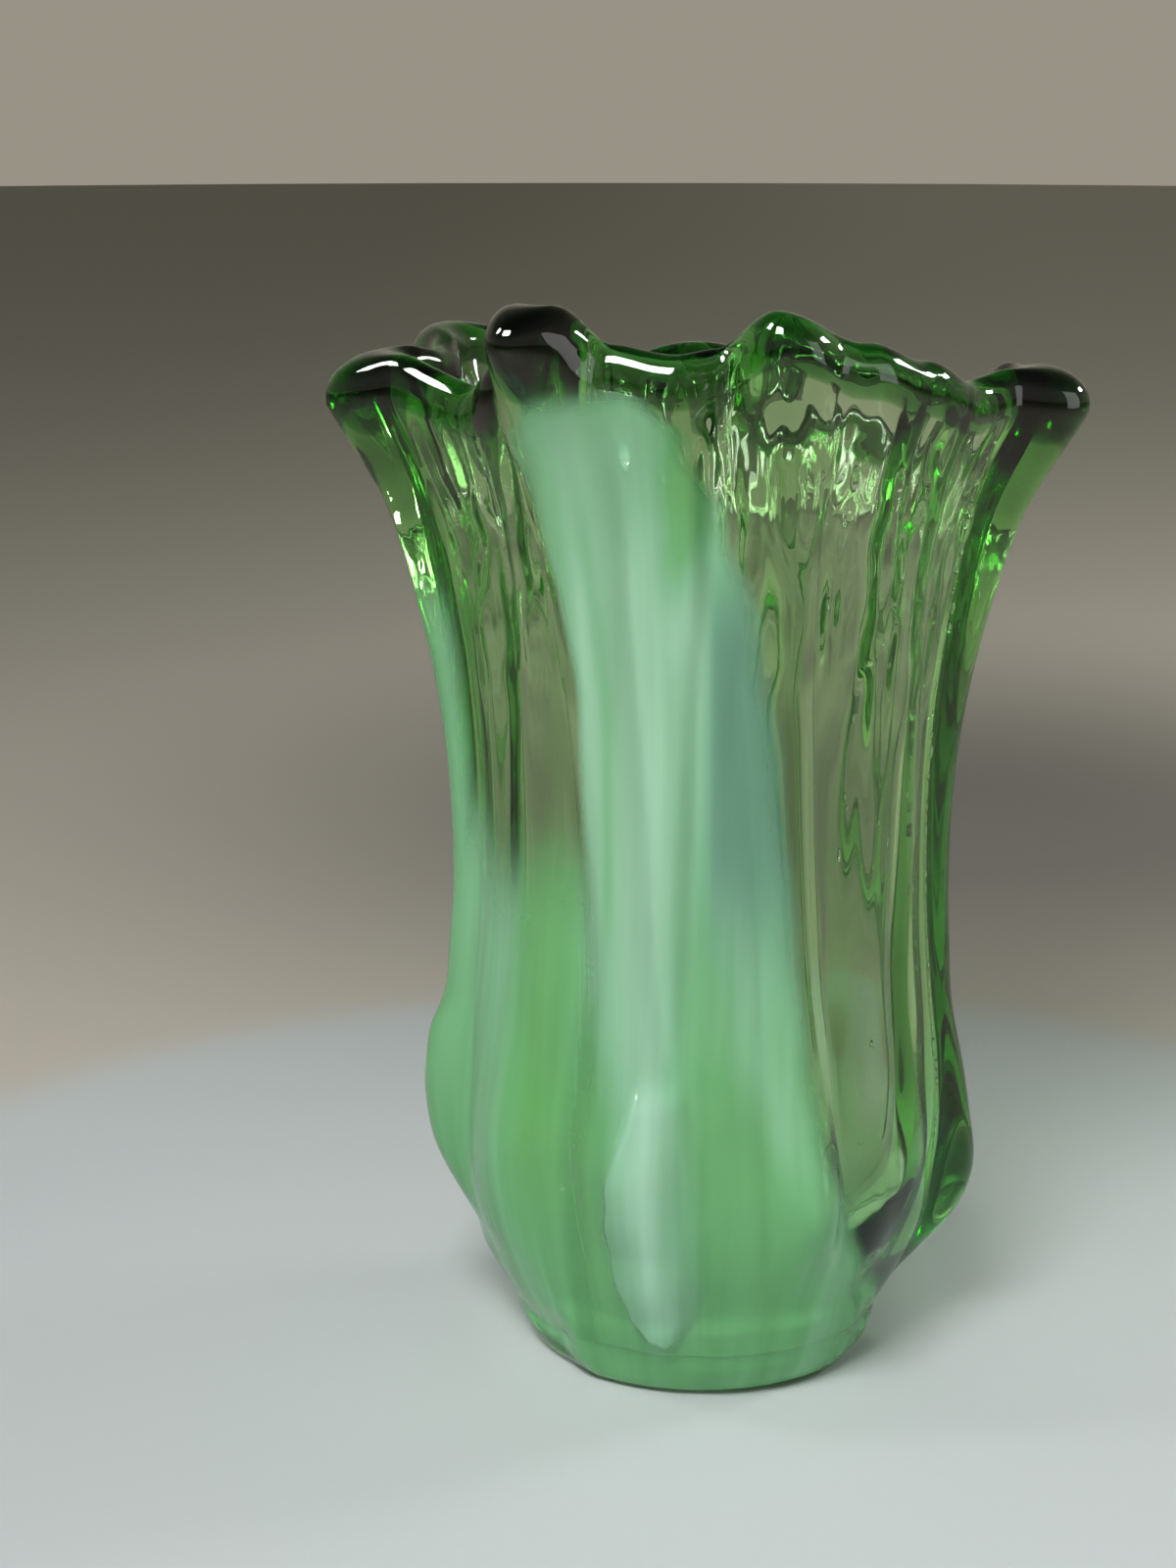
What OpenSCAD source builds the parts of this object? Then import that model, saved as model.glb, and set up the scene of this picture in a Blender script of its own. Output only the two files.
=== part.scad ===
// Hand blown art glass vase.
// The glass is built up as the maker builds it: a foot pad, two gathers with opal
// caught between them, seven trails laid down the outside and a bead round the rim.
// Every sheet of glass lies between two surfaces of one shared grid, so neighbours
// meet face to face. Columns of the grid run up the wall and rows run round it.

/* [Height] */
// Height of the rim, before its ears rise and its hollows dip
rim_h = 240; // [220:1:290]
// Height of the flare, where the wall starts to turn outwards
flare_z = 206; // [185:1:210]
// Height of the neck above the waist
neck_z = 162; // [145:1:175]
// Height of the waist
waist_z = 112; // [95:1:135]
// Height of the belly, the widest place low down
belly_z = 54; // [48:1:75]
// Height of the heel, where the wall turns in to the foot
heel_z = 25; // [20:1:32]

/* [Radius] */
// Outer radius of the wall under the lip, between the ribs
rim_r = 67.5; // [55:0.5:85]
// Outer radius of the wall at the flare
flare_r = 60; // [50:0.5:74]
// Outer radius of the wall at the neck
neck_r = 55; // [45:0.5:68]
// Outer radius of the wall at the waist
waist_r = 55; // [45:0.5:67]
// Outer radius of the wall at the belly
belly_r = 59; // [49:0.5:72]
// Outer radius of the wall at the heel
heel_r = 52; // [49:0.5:62]
// Radius of the foot
foot_r = 45.5; // [37:0.5:50]

/* [Wall] */
// Thickness of the inner gather
inner_t = 2.2; // [1.6:0.1:3]
// Thickness of the outer gather
outer_t = 2.8; // [2:0.1:4]
// Thickness of the opal at its thickest
opal_t = 1.2; // [0.6:0.1:1.6]
// Thickness of the floor above the foot
floor_t = 9; // [6:0.5:12]

/* [Ribs] */
// How far the ribs stand off the wall at the waist
rib_reach = 4.5; // [2:0.1:7]
// How far the two side ears stand off the wall at the rim
ear_reach = 10; // [6:0.5:16]
// How far the smaller ears stand off the wall at the rim
wave_reach = 8; // [3:0.5:12]
// How far the largest knuckle stands off its rib low down
knuckle_reach = 8; // [0:0.5:10]
// How far the wall itself is folded out behind the ears
fold_reach = 8; // [2:0.5:10]
// How far the tip of an ear may hang below the rim
ear_droop = 5; // [0:0.5:8]

/* [Lip] */
// Height of the lip bead above the wall
lip_h = 9; // [5:0.5:12]
// How far the bead stands past each side of the wall
lip_swell = 2; // [0.5:0.1:3]

/* [Foot] */
// Height of the foot pad
foot_h = 10; // [8:0.5:14]
// Radius of the rounded edge of the foot
foot_round = 6; // [2:0.5:7]

/* [Hidden] */
$fn = 96;

clear_green = [0.62, 0.80, 0.55];
deep_green = [0.16, 0.42, 0.16];
milky_mint = [0.55, 0.78, 0.62];

// The grid: columns round the vase, and rows up its profile.
COLUMNS = 90;
STEP = 360 / COLUMNS;
SPAN_ROWS = [2, 4, 7, 3, 3, 3];  // rows in each span of the profile above the foot

wall = inner_t + outer_t;
floor_z = foot_h + floor_t;
wall_top = rim_h - lip_h;

// The outer profile of the wall, from the middle of the foot up to the lip.
OUTER = [[0, foot_h], [foot_r - 14, foot_h], [foot_r - 1, foot_h], [heel_r, heel_z],
         [belly_r, belly_z], [waist_r, waist_z], [neck_r, neck_z], [flare_r, flare_z],
         [rim_r, wall_top]];
// The inner profile, from the middle of the floor up to the lip.
INNER = [[0, floor_z], [foot_r - 18, floor_z], [foot_r - 6, floor_z + 4],
         [heel_r - wall - 0.5, heel_z + 9], [belly_r - wall, belly_z + 2],
         [waist_r - wall, waist_z], [neck_r - wall, neck_z], [flare_r - wall, flare_z],
         [rim_r - wall, wall_top]];
// Where each row sits on the profiles: two on the floor, then even steps in each span.
ROWS = concat([0, 1], [for (s = [0:len(SPAN_ROWS) - 1], k = [0:SPAN_ROWS[s] - 1])
    2 + s + k / SPAN_ROWS[s]], [len(OUTER) - 1]);
LAST = len(ROWS) - 1;

// The rim, by angle: how far it rises, how much of the fold it has, and how far the
// wall below it leans round on the way down to the foot.
RIM = [[0, -1, 0.6, 0], [16, -10, -0.2, 0], [40, -8, 0.8, 0], [64, -11, -0.2, 0],
       [92, -3, 0.5, 0], [116, -9, -0.3, 0], [148, 5, 0.8, 0], [168, 0, -0.1, 0],
       [188, 4, 1, 2], [216, -3, -0.4, 8], [232, 5, 0.3, 14], [240, 17, 0.8, 18],
       [248, 17, 0.8, 18], [256, 6, 0.1, 18], [264, 4.5, 0, 18], [272, 6, -0.4, 17], [282, 16.5, 0.3, 15],
       [300, 9, 0.2, 11], [316, 4, 0, 7], [332, -2, 0, 3], [352, 1, 1, 0],
       [360, -1, 0.6, 0]];

// The ribs, by node: angle at the rim, reach at the rim, share of the full droop, and
// the knuckles on the lower end, each with its height and its share of the full reach.
RIB_LEFT = [188, ear_reach, 1, [[81, 0.7], [47, 0.35], [24, 0.15]]];
RIB_FRONT_LEFT = [244, ear_reach, 0, [[62, 0.4], [30, 0.3]]];
RIB_FRONT = [284, wave_reach - 4, 0, [[50, 0.3]]];
RIB_RIGHT = [352, ear_reach, 0.6, [[46, 0.3], [29, 1]]];
RIB_BACK_RIGHT = [40, wave_reach, 0.5, [[74, 0.5], [42, 0.4]]];
RIB_BACK = [92, wave_reach - 2, 0.5, [[60, 0.5], [30, 0.4]]];
RIB_BACK_LEFT = [148, wave_reach, 0.5, [[70, 0.6], [38, 0.4]]];
RIBS = [RIB_LEFT, RIB_FRONT_LEFT, RIB_FRONT, RIB_RIGHT, RIB_BACK_RIGHT, RIB_BACK,
        RIB_BACK_LEFT];
RIB_HALF = 3;  // columns from a rib's crest to its edge
RIB_ROW = 3;  // the row where a rib runs out at the heel
KNUCKLE_H = 9;  // half the height of a knuckle

// The opal, by node: first and last column angle, then first and last row.
OPAL_TONGUE = [240, 292, 3, LAST - 1];
OPAL_SKIRT = [148, 240, 3, 15];

// A smooth curve through a list of points, at u points from its start.
function curve(pts, u) =
    let (n = len(pts), k = min(floor(u), n - 2), f = u - k,
         a = pts[max(k - 1, 0)], b = pts[k], c = pts[k + 1], d = pts[min(k + 2, n - 1)])
    b + f * ((c - a) / 2 + f * ((2 * a - 5 * b + 4 * c - d) / 2
        + f * (3 * b - a - 3 * c + d) / 2));
function ease(f) = let (g = max(0, min(1, f))) g * g * (3 - 2 * g);
function turn(a) = (a % 360 + 360) % 360;
function column(angle) = round(angle / STEP);
// Columns from an angle to column i, by the shorter way round.
function columns_from(angle, i) =
    (i - column(angle) + 1.5 * COLUMNS) % COLUMNS - COLUMNS / 2;

// The rim's rise, fold and lean at an angle.
function rim_at(angle) =
    let (a = turn(angle), k = max([for (n = [0:len(RIM) - 2]) if (RIM[n][0] <= a) n]),
         f = ease((a - RIM[k][0]) / (RIM[k + 1][0] - RIM[k][0])))
    RIM[k] * (1 - f) + RIM[k + 1] * f;
// How far up the flare a height is, from 0 at the waist to 1 at the rim.
function flare_at(z) = pow(max(0, min(1, (z - waist_z) / (wall_top - waist_z))), 1.7);

// A point of the grid, a given distance outside a profile point.
function place(p, i, out) =
    let (rim = rim_at(i * STEP), up = flare_at(p[1]), low = 1 - min(1, p[1] / wall_top),
         angle = i * STEP + rim[3] * low, r = p[0] + fold_reach * rim[2] * up + out)
    [r * cos(angle), r * sin(angle), p[1] + rim[1] * up];

function outer_at(j) = let (u = ROWS[j]) u < 2 ? OUTER[u] : curve_wall(OUTER, u);
function inner_at(j) = let (u = ROWS[j]) u < 2 ? INNER[u] : curve_wall(INNER, u);
// The wall alone, so that the turn at the foot doesn't swing the curve.
function curve_wall(pts, u) = curve([for (k = [2:len(pts) - 1]) pts[k]], u - 2);
// The outside of the inner gather: its thickness away from the cavity.
function middle_at(j) =
    let (p = inner_at(j), q = outer_at(j)) p + (q - p) * inner_t / norm(q - p);

// How thick the opal is: full in the middle of its patch and nothing at its edges.
function opal_over(patch, i, j) =
    let (x = (i - column(patch[0])) / (column(patch[1]) - column(patch[0])),
         y = (j - patch[2]) / (patch[3] - patch[2]))
    x <= 0 || x >= 1 || y <= 0 || y >= 1 ? 0
    : opal_t * min(1, 4 * x * (1 - x)) * min(1, 6 * y * (1 - y));
function opal_at(i, j) = max(opal_over(OPAL_TONGUE, i, j), opal_over(OPAL_SKIRT, i, j));

// How far a rib stands off the wall, along its crest and then across it, and how far
// it hangs.
function knuckles(list, z) = max([for (k = list) k[1] * exp(-pow((z - k[0]) / KNUCKLE_H, 2))]);
function crest(rib, z) =
    let (low = ease((z - heel_z) / (belly_z - heel_z)), top = flare_at(z),
         end = ease((z - foot_h) / (heel_z - foot_h)))
    rib_reach * low * (1 - top) + rib[1] * top + end * knuckle_reach * knuckles(rib[3], z);
function rib_at(rib, i, j) =
    let (x = columns_from(rib[0], i) / RIB_HALF, z = outer_at(j)[1],
         out = abs(x) >= 1 || j <= RIB_ROW ? 0 : crest(rib, z) * pow(1 - x * x, 1.5))
    [out, ear_droop * rib[2] * out / ear_reach * flare_at(z)];
function ribs_at(i, j) =
    let (found = [for (rib = RIBS) rib_at(rib, i, j)])
    [max([for (f = found) f[0]]), max([for (f = found) f[1]])];

// The surfaces, as points by column and row.
function cavity(i, j) = place(inner_at(j), i, 0);
function casing(i, j) = place(middle_at(j), i, 0);
function pocket(i, j) = place(middle_at(j), i, opal_at(i, j));
function skin(i, j) = place(outer_at(j), i, 0);
function ribbed(i, j) =
    let (rib = ribs_at(i, j)) place(outer_at(j), i, rib[0]) - [0, 0, rib[1]];

// Two triangles of a four-sided cell, without any that has come to nothing.
function cell(a, b, c, d) = [for (t = [[a, b, c], [a, c, d]])
    if (t[0] != t[1] && t[1] != t[2] && t[2] != t[0]) t];
function same(a, b) = norm(a - b) < 0.001;
function flip(faces) = [for (f = faces) [f[0], f[2], f[1]]];

// A closed shell round the whole vase, from its pole at the bottom up to the wall top.
// The points are the inner pole and rows, then the outer pole and rows.
module shell(low, high) {
    n = COLUMNS * LAST + 1;
    function at(side, i, j) = j == 0 ? side * n : side * n + 1 + (j - 1) * COLUMNS + i % COLUMNS;
    function faces(side) = [for (j = [0:LAST - 1], i = [0:COLUMNS - 1])
        each cell(at(side, i, j), at(side, i + 1, j), at(side, i + 1, j + 1), at(side, i, j + 1))];
    points = [each concat([low[0][0]], [for (j = [1:LAST], i = [0:COLUMNS - 1]) low[j][i]]),
              each concat([high[0][0]], [for (j = [1:LAST], i = [0:COLUMNS - 1]) high[j][i]])];
    top = [for (i = [0:COLUMNS - 1])
        each cell(at(0, i, LAST), at(0, i + 1, LAST), at(1, i + 1, LAST), at(1, i, LAST))];
    polyhedron(points, concat(faces(0), flip(faces(1)), top));
}

// A closed patch between two surfaces, from one column and row to another. Where the
// surfaces meet they share a point. A patch that reaches the wall top has a flat end.
module patch(low, high, first, last, bottom, top) {
    wide = last - first + 1;
    n = wide * (top - bottom + 1);
    function id(i, j) = (j - bottom) * wide + i - first;
    function at(side, i, j) = id(i, j) + (side == 1 && !pinched[id(i, j)] ? n : 0);
    function faces(side) = [for (j = [bottom:top - 1], i = [first:last - 1])
        each cell(at(side, i, j), at(side, i + 1, j), at(side, i + 1, j + 1), at(side, i, j + 1))];
    function shut(t) = max([for (v = t) v]) < n && min([for (v = t) pinched[v] ? 1 : 0]) == 1;
    pinched = [for (j = [bottom:top], i = [first:last])
        same(low[j][i % COLUMNS], high[j][i % COLUMNS])];
    points = [for (side = [low, high], j = [bottom:top], i = [first:last])
        side[j][i % COLUMNS]];
    end = [for (i = [first:last - 1])
        each cell(at(0, i, top), at(0, i + 1, top), at(1, i + 1, top), at(1, i, top))];
    polyhedron(points, [for (f = concat(faces(0), flip(faces(1)), end)) if (!shut(f)) f]);
}

// A whole surface as rows of points.
CAVITY = [for (j = [0:LAST]) [for (i = [0:COLUMNS - 1]) cavity(i, j)]];
CASING = [for (j = [0:LAST]) [for (i = [0:COLUMNS - 1]) casing(i, j)]];
POCKET = [for (j = [0:LAST]) [for (i = [0:COLUMNS - 1]) pocket(i, j)]];
SKIN = [for (j = [0:LAST]) [for (i = [0:COLUMNS - 1]) skin(i, j)]];
RIBBED = [for (j = [0:LAST]) [for (i = [0:COLUMNS - 1]) ribbed(i, j)]];

// The pad: ground flat underneath, with a fire-rounded edge.
module base_pad() color(clear_green) rotate_extrude() {
    square([foot_r - foot_round, foot_h]);
    translate([0, foot_round]) square([foot_r, foot_h - foot_round]);
    intersection() {
        translate([foot_r - foot_round, foot_round]) circle(foot_round);
        square([foot_r, foot_round]);
    }
}

module inner_gather() color(clear_green) shell(CAVITY, CASING);

module outer_gather() color(clear_green) shell(POCKET, SKIN);

module opal(area) color(milky_mint)
    patch(CASING, POCKET, column(area[0]), column(area[1]), area[2], area[3]);
module opal_tongue() opal(OPAL_TONGUE);
module opal_skirt() opal(OPAL_SKIRT);

module rib(which) color(clear_green)
    patch(SKIN, RIBBED, column(which[0]) - RIB_HALF, column(which[0]) + RIB_HALF, RIB_ROW, LAST);
module rib_left() rib(RIB_LEFT);
module rib_front_left() rib(RIB_FRONT_LEFT);
module rib_front() rib(RIB_FRONT);
module rib_right() rib(RIB_RIGHT);
module rib_back_right() rib(RIB_BACK_RIGHT);
module rib_back() rib(RIB_BACK);
module rib_back_left() rib(RIB_BACK_LEFT);

// The bead: it sits on the tops of the gathers and ribs, and swells past both sides.
module lip_wrap() {
    ARC = [for (k = [0:6]) -20 + k * 220 / 6];
    function seat(i) = [CAVITY[LAST][i], CASING[LAST][i], SKIN[LAST][i], RIBBED[LAST][i]];
    function bead(i) = let (s = seat(i), out = unit(s[3] - s[0]), mid = (s[0] + s[3]) / 2,
            half = norm(s[3] - s[0]) / 2 + lip_swell)
        [for (a = ARC) mid + out * half * cos(a) + [0, 0, lip_h * (sin(a) + 0.35) / 1.35]];
    function unit(v) = v / norm(v);
    points = [for (i = [0:COLUMNS - 1]) each concat(seat(i), bead(i))];
    n = 4 + len(ARC);
    function at(i, k) = let (c = i % COLUMNS)
        c * n + (k == 3 && same(SKIN[LAST][c], RIBBED[LAST][c]) ? 2 : k % n);
    color(deep_green) polyhedron(points, flip([for (i = [0:COLUMNS - 1], k = [0:n - 1])
        each cell(at(i, k), at(i + 1, k), at(i + 1, k + 1), at(i, k + 1))]));
}

base_pad();
inner_gather();
outer_gather();
opal_tongue();
opal_skirt();
rib_left();
rib_front_left();
rib_front();
rib_right();
rib_back_right();
rib_back();
rib_back_left();
lip_wrap();
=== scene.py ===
# %% [markdown]
# # Hand blown art glass vase
# The vase is one fused piece of glass, and nearly all of its looks come from light that
# bends through it. So the clear wall is one closed skin with real thickness. The trails,
# the rim bead, the foot and the trapped air lie inside it, and the opal lies on it.

# %% Load the frame
import functools
import math
import random

import bmesh
import bpy
from mathutils import Matrix, Vector, noise


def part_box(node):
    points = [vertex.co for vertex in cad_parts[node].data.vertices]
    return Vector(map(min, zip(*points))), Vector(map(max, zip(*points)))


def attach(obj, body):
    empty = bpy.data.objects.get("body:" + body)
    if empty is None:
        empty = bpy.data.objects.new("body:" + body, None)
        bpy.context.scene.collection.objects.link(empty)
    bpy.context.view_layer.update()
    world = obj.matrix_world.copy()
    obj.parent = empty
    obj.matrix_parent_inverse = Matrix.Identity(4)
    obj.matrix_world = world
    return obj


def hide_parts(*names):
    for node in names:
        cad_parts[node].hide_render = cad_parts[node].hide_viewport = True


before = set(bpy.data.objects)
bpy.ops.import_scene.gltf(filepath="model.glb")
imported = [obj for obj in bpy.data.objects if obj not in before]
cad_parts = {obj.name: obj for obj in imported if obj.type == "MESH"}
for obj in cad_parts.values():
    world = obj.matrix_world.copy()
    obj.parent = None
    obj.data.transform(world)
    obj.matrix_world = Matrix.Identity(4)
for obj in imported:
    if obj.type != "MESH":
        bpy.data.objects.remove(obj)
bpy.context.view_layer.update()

# %% [markdown]
# ## Camera
# The camera comes first, because everything else is judged through it. It stands a
# little above the rim and looks down, so the mouth just opens and the foot is seen whole.

# %% Camera
CAMERA_BACK, CAMERA_HIGH = 0.665, 0.310
LOOK_DOWN, LOOK_LEFT = math.radians(14.5), math.radians(2.35)

lens = bpy.data.cameras.new("camera")
lens.sensor_width = 36
lens.lens = 65.86
lens.clip_end = 50
camera = bpy.data.objects.new("camera", lens)
camera.location = (0, -CAMERA_BACK, CAMERA_HIGH)
camera.rotation_euler = (math.pi / 2 - LOOK_DOWN, 0, LOOK_LEFT)
bpy.context.scene.collection.objects.link(camera)
bpy.context.scene.camera = camera
print("camera", tuple(round(c, 3) for c in camera.location), "lens", lens.lens, "mm")

# %% [markdown]
# ## A helper for materials
# Each finish is a small node tree. This helper makes the material, empties it and gives
# back a function that adds one node with its settings, so that a tree reads like a list.


# %% Material helper
def finish(name):
    """A new empty material, its output node and a function that adds a node to it."""
    material = bpy.data.materials.new(name)
    material.use_nodes = True
    tree = material.node_tree
    tree.nodes.clear()

    def add(kind, settings=None, **links):
        node = tree.nodes.new(kind)
        for key, value in (settings or {}).items():
            if isinstance(key, int) or key in node.inputs:
                node.inputs[key].default_value = value
            else:
                setattr(node, key, value)
        for key, socket in links.items():
            tree.links.new(socket, node.inputs[int(key[1:]) if key[0] == "i" and key[1:].isdigit()
                                               else key.replace("_", " ")])
        return node

    output = tree.nodes.new("ShaderNodeOutputMaterial")
    return material, tree, output, add


# %% [markdown]
# ## Stage
# Clear glass has no colour of its own to speak of: it shows what stands round it. A pale
# round table with a warm grey surround gives it a bright foot and a darker body. It could
# be a table with a straight edge and a wall, but a round one suits every side of the vase.
# Two soft ramps are painted light and shade on it: a painted shadow of the vase behind it,
# a little to the right, and painted light that makes the floor paler from left to right.

# %% Floor
PALE, TAUPE = (0.55, 0.585, 0.60, 1), (0.55, 0.51, 0.435, 1)
PALE_RADIUS, TAUPE_RADIUS = 0.235, 0.275
FLOOR_RADIUS, FLOOR_DROP = 6, 0.0002
# A painted shadow of the vase on the floor, darkest round a point behind it and a little to the
# right.
PAINTED_SHADOW_MIDDLE, PAINTED_SHADOW_FROM, PAINTED_SHADOW_TO, PAINTED_SHADOW_TONE = (0.11, 0.47, 0), 0.05, 0.48, 0.30
# Painted light across the floor: darker on the left, paler on the right.
PAINTED_LIGHT_REACH, PAINTED_LIGHT_LEFT, PAINTED_LIGHT_RIGHT = 0.6, 0.84, 1.30

bm = bmesh.new()
bmesh.ops.create_circle(bm, cap_ends=True, segments=128, radius=FLOOR_RADIUS)
bmesh.ops.translate(bm, verts=bm.verts, vec=(0, 0, -FLOOR_DROP))
floor_mesh = bpy.data.meshes.new("floor")
bm.to_mesh(floor_mesh)
bm.free()
floor = bpy.data.objects.new("floor", floor_mesh)
bpy.context.scene.collection.objects.link(floor)

material, tree, output, add = finish("table_paint")
place = add("ShaderNodeTexCoord")
length = add("ShaderNodeVectorMath", {"operation": "LENGTH"}, i0=place.outputs["Object"])
ramp = add("ShaderNodeMapRange", {"interpolation_type": "SMOOTHSTEP", "From Min": PALE_RADIUS,
                                  "From Max": TAUPE_RADIUS}, Value=length.outputs["Value"])
# Painted shadow: the floor darkens round a point behind the vase.
from_painted_shadow = add("ShaderNodeVectorMath", {"operation": "DISTANCE", 1: PAINTED_SHADOW_MIDDLE},
           i0=place.outputs["Object"])
painted_shadow = add("ShaderNodeMapRange", {"interpolation_type": "SMOOTHSTEP", "From Min": PAINTED_SHADOW_FROM,
                                   "From Max": PAINTED_SHADOW_TO, "To Min": PAINTED_SHADOW_TONE, "To Max": 1.0},
            Value=from_painted_shadow.outputs["Value"])
across = add("ShaderNodeSeparateXYZ", {}, Vector=place.outputs["Object"])
# Painted light: the floor grows paler from left to right.
painted_light_slope = add("ShaderNodeMapRange", {"interpolation_type": "SMOOTHSTEP",
                                   "From Min": -PAINTED_LIGHT_REACH, "From Max": PAINTED_LIGHT_REACH,
                                   "To Min": PAINTED_LIGHT_LEFT, "To Max": PAINTED_LIGHT_RIGHT},
            Value=across.outputs["X"])
# The painted shadow and the painted light, multiplied into the table colour.
painted_light_and_shadow = add("ShaderNodeMath", {"operation": "MULTIPLY"}, i0=painted_shadow.outputs["Result"],
           i1=painted_light_slope.outputs["Result"])
mix = add("ShaderNodeMix", {"data_type": "RGBA"}, i0=ramp.outputs["Result"])
mix.inputs[6].default_value, mix.inputs[7].default_value = PALE, TAUPE
colour_with_painted_light = add("ShaderNodeVectorMath", {"operation": "SCALE"}, i0=mix.outputs[2],
            Scale=painted_light_and_shadow.outputs["Value"])
paint = add("ShaderNodeBsdfPrincipled", {"Roughness": 0.75}, Base_Color=colour_with_painted_light.outputs["Vector"])
tree.links.new(paint.outputs["BSDF"], output.inputs["Surface"])
floor_mesh.materials.append(material)
print("pale table", 2 * PALE_RADIUS, "m across on a floor", 2 * FLOOR_RADIUS, "m across")

# %% [markdown]
# ## The room
# Every curve of the glass shows a squeezed view of the room. A modelled room would give
# it corners and edges that nobody asked for, so the room is only soft colour: warm grey
# at the height of the vase and near darkness overhead, which gives the rim something pale
# to bend and something dark to draw its edges with. The viewer's side is a little paler.

# %% World
world = bpy.data.worlds.new("room")
bpy.context.scene.world = world
world.use_nodes = True
tree = world.node_tree
tree.nodes.clear()


def room_node(kind, **links):
    """Adds a node to the world and links its inputs by name or number."""
    node = tree.nodes.new(kind)
    for key, socket in links.items():
        tree.links.new(socket, node.inputs[int(key[1:]) if key[1:].isdigit() else key])
    return node


def room_ramp(stops, source):
    """Colours along one direction of the room, from (position, colour) stops."""
    ramp = room_node("ShaderNodeValToRGB", Fac=source)
    ramp.color_ramp.interpolation = "EASE"
    ends = ramp.color_ramp.elements
    ends[0].position, ends[0].color = stops[0]
    ends[1].position, ends[1].color = stops[-1]
    for position, colour in stops[1:-1]:
        ends.new(position).color = colour
    return ramp.outputs["Color"]


place = room_node("ShaderNodeTexCoord")
split = room_node("ShaderNodeSeparateXYZ", Vector=place.outputs["Generated"])
front = room_node("ShaderNodeMath", i0=split.outputs["Y"])
front.operation, front.inputs[1].default_value = "MULTIPLY_ADD", -0.5
front.inputs[2].default_value = 0.5
BEHIND = [(0.0, (0.32, 0.29, 0.24, 1)), (0.25, (0.34, 0.31, 0.26, 1)),
          (0.6, (0.11, 0.12, 0.09, 1)), (1.0, (0.05, 0.06, 0.05, 1))]
BEFORE = [(0.0, (0.34, 0.32, 0.28, 1)), (0.15, (0.36, 0.36, 0.33, 1)),
          (0.6, (0.11, 0.12, 0.10, 1)), (1.0, (0.05, 0.06, 0.05, 1))]
blend = room_node("ShaderNodeMix")
blend.data_type = "RGBA"
side = room_ramp([(0.35, (0, 0, 0, 1)), (0.85, (1, 1, 1, 1))], front.outputs["Value"])
tree.links.new(side, blend.inputs[0])
tree.links.new(room_ramp(BEHIND, split.outputs["Z"]), blend.inputs[6])
tree.links.new(room_ramp(BEFORE, split.outputs["Z"]), blend.inputs[7])
sky = room_node("ShaderNodeBackground", Color=blend.outputs[2])
room_node("ShaderNodeOutputWorld", Surface=sky.outputs["Background"])
print("room light from the horizon to overhead:", [c[:3] for _, c in BEHIND])

# %% [markdown]
# ## The windows
# Soft windows light the vase: the main one high at the front, weaker ones left and right.
# Real clear glass casts only a thin shadow, which a path tracer finds slowly. So each
# window is two lamps. The plain one is stopped by everything, and the clear one only by
# the opal, which the casts_shade collection holds. Glass also needs long white glints
# that would flood the table, so three more lamps are seen only in gloss and through glass.


# %% Lights
def window(name, place, aim, size, watts):
    """A soft rectangular light, like a window, that faces a point."""
    light = bpy.data.lights.new(name, "AREA")
    light.shape = "RECTANGLE"
    light.size, light.size_y = size
    light.energy = watts
    lamp = bpy.data.objects.new(name, light)
    lamp.location = place
    lamp.rotation_euler = (Vector(aim) - Vector(place)).to_track_quat("-Z", "Y").to_euler()
    bpy.context.scene.collection.objects.link(lamp)
    return lamp


MIDDLE, SHOULDER = Vector((0, 0, 0.15)), Vector((0, 0, 0.2))


def from_side(turn, lift, far):
    """A place at an angle round the vase, an angle above the table and a distance."""
    turn, lift = math.radians(turn), math.radians(lift)
    way = Vector((math.cos(turn) * math.cos(lift), math.sin(turn) * math.cos(lift),
                  math.sin(lift)))
    return MIDDLE + far * way


# Each window: its name, angle round, angle up, distance, size and watts.
WINDOWS = (("window_front", 251, 48, 1.25, (0.46, 0.30), 13.5),
           ("window_left", 185, 46, 1.3, (0.24, 0.36), 1.8),
           ("window_right", 22, 24, 1.4, (0.34, 0.16), 4.0))
KINDS = (("_plain", 0.6), ("_clear", 0.4))
# Each glint lamp: the same, without the distance, which they share.
GLINTS = (("glint_front", 246, 48, (0.72, 0.52), 26),
          ("glint_left", 188, 46, (0.30, 0.42), 9),
          ("card_right", 345, 7, (0.50, 0.70), 2))
GLINT_FAR = 1.3

shades = bpy.data.collections.new("casts_shade")
for name, turn, lift, far, size, watts in WINDOWS:
    for kind, share in KINDS:
        lamp = window(name + kind, from_side(turn, lift, far), MIDDLE, size, watts * share)
        lamp.visible_camera = False
        if kind == "_clear":
            lamp.light_linking.blocker_collection = shades
for name, turn, lift, size, watts in GLINTS:
    glint = window(name, from_side(turn, lift, GLINT_FAR), SHOULDER, size, watts)
    glint.visible_camera = glint.visible_diffuse = False
print(len(WINDOWS) * len(KINDS), "soft lights,", len(GLINTS), "for gloss and glass only")

# %% [markdown]
# Light that comes through the vase crosses the surface of the glass four times or more,
# and bounces inside it on the way. Paths that are cut short leave the thick rim black, so
# they are allowed to be long.

# %% Light paths
scene = bpy.context.scene
scene.view_settings.view_transform = "Standard"
scene.cycles.max_bounces = 24
scene.cycles.transmission_bounces = 20
scene.cycles.glossy_bounces = 8
scene.cycles.diffuse_bounces = 8
scene.cycles.transparent_max_bounces = 40
scene.cycles.sample_clamp_indirect = 8
print("up to", scene.cycles.max_bounces, "bounces for each path of light")

# %% [markdown]
# ## The form
# The maker blows a plain round body, folds the hot rim into lobes, lays trails of glass
# down the outside and lets the whole piece turn a little as it slumps. The code works in
# the same order: a round profile in millimetres, then functions that lift, fold, lean and
# thicken it by angle and height. Every piece inside the glass uses the same functions, so
# it always sits where the glass is.

# %% The round profile
MM = 0.001
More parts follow.
